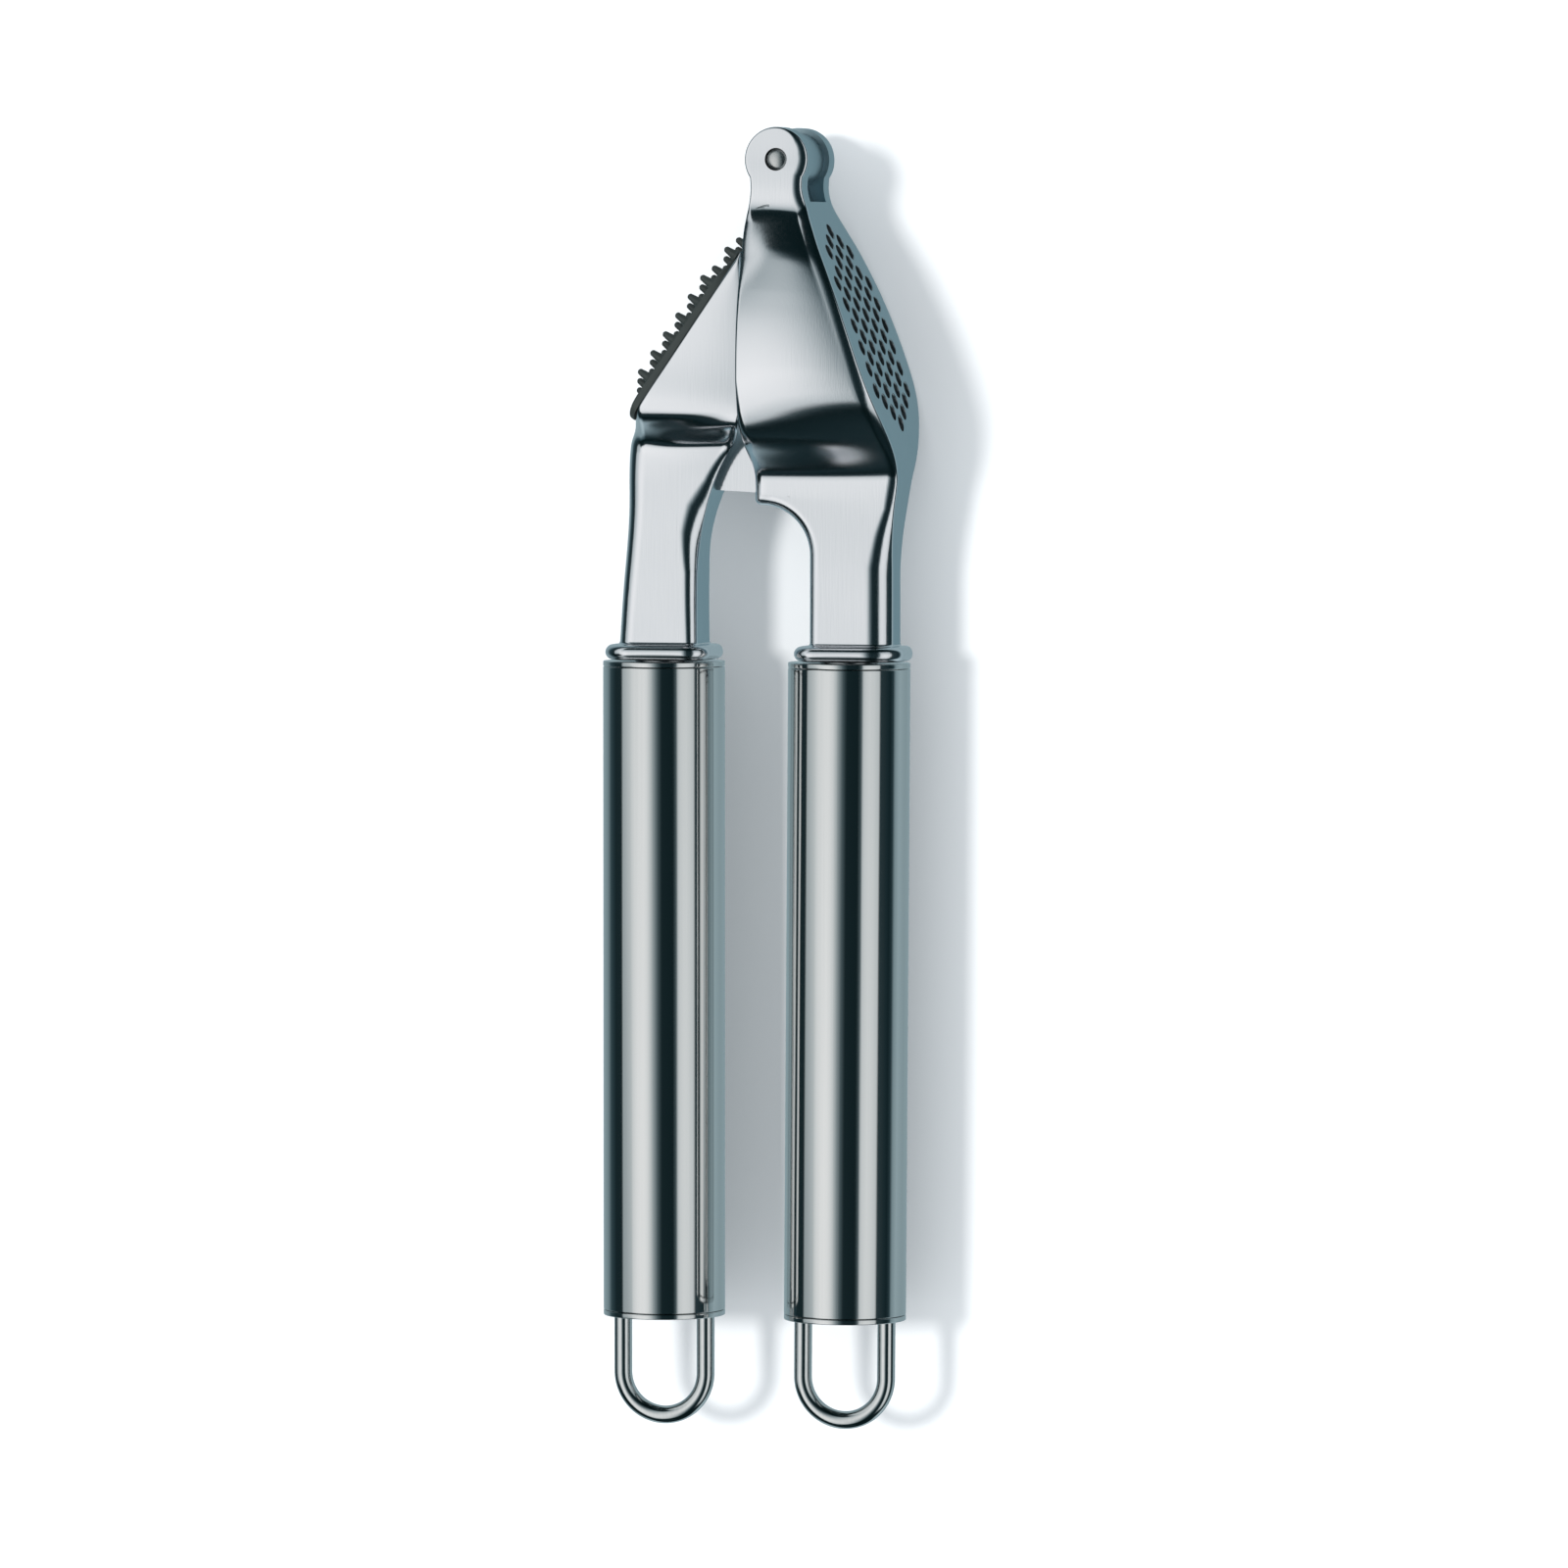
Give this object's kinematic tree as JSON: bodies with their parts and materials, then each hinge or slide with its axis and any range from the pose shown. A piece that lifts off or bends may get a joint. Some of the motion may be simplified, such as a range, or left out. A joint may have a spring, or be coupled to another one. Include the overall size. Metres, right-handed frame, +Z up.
{
  "type": "garlic press",
  "caption": "Stainless garlic press with two hinged round handles, a perforated hopper, a ram and a nubbed cleaning pad.",
  "frame": {"origin": "centre of the footprint, on the surface that the press lies on", "axes": "+Y along the handles towards the hinged head, +X from the plunger arm to the hopper arm, +Z up, along the hinge pin, with the press lying on its side and closed"},
  "size_m": [0.049, 0.2022, 0.0321],
  "materials": {
    "cast_steel": "polished cast stainless steel",
    "tube_steel": "polished stainless tube",
    "wire_steel": "polished stainless wire",
    "pin_steel": "turned steel",
    "plain_steel": "plain steel, hidden",
    "black_plastic": "matt black plastic"
  },
  "bodies": {
    "hopper_arm": {"hopper_casting": "cast_steel", "pivot_pin": "pin_steel", "hopper_tang": "plain_steel", "hopper_handle_disc": "tube_steel", "hopper_handle_tube": "tube_steel", "hopper_handle_cap": "tube_steel", "hopper_hanging_loop": "wire_steel"},
    "plunger_arm": {"plunger_casting": "cast_steel", "cleaning_pad": "black_plastic", "pad_pegs": "black_plastic", "plunger_tang": "plain_steel", "plunger_handle_disc": "tube_steel", "plunger_handle_tube": "tube_steel", "plunger_handle_cap": "tube_steel", "plunger_hanging_loop": "wire_steel"}
  },
  "joints": [
    {"name": "arm_hinge", "type": "hinge", "parent": "hopper_arm", "child": "plunger_arm", "pos_m": [0.00545, 0.0961, 0.01606], "axis": [0, 0, 1], "range_deg": [-303, 0]}
  ]
}
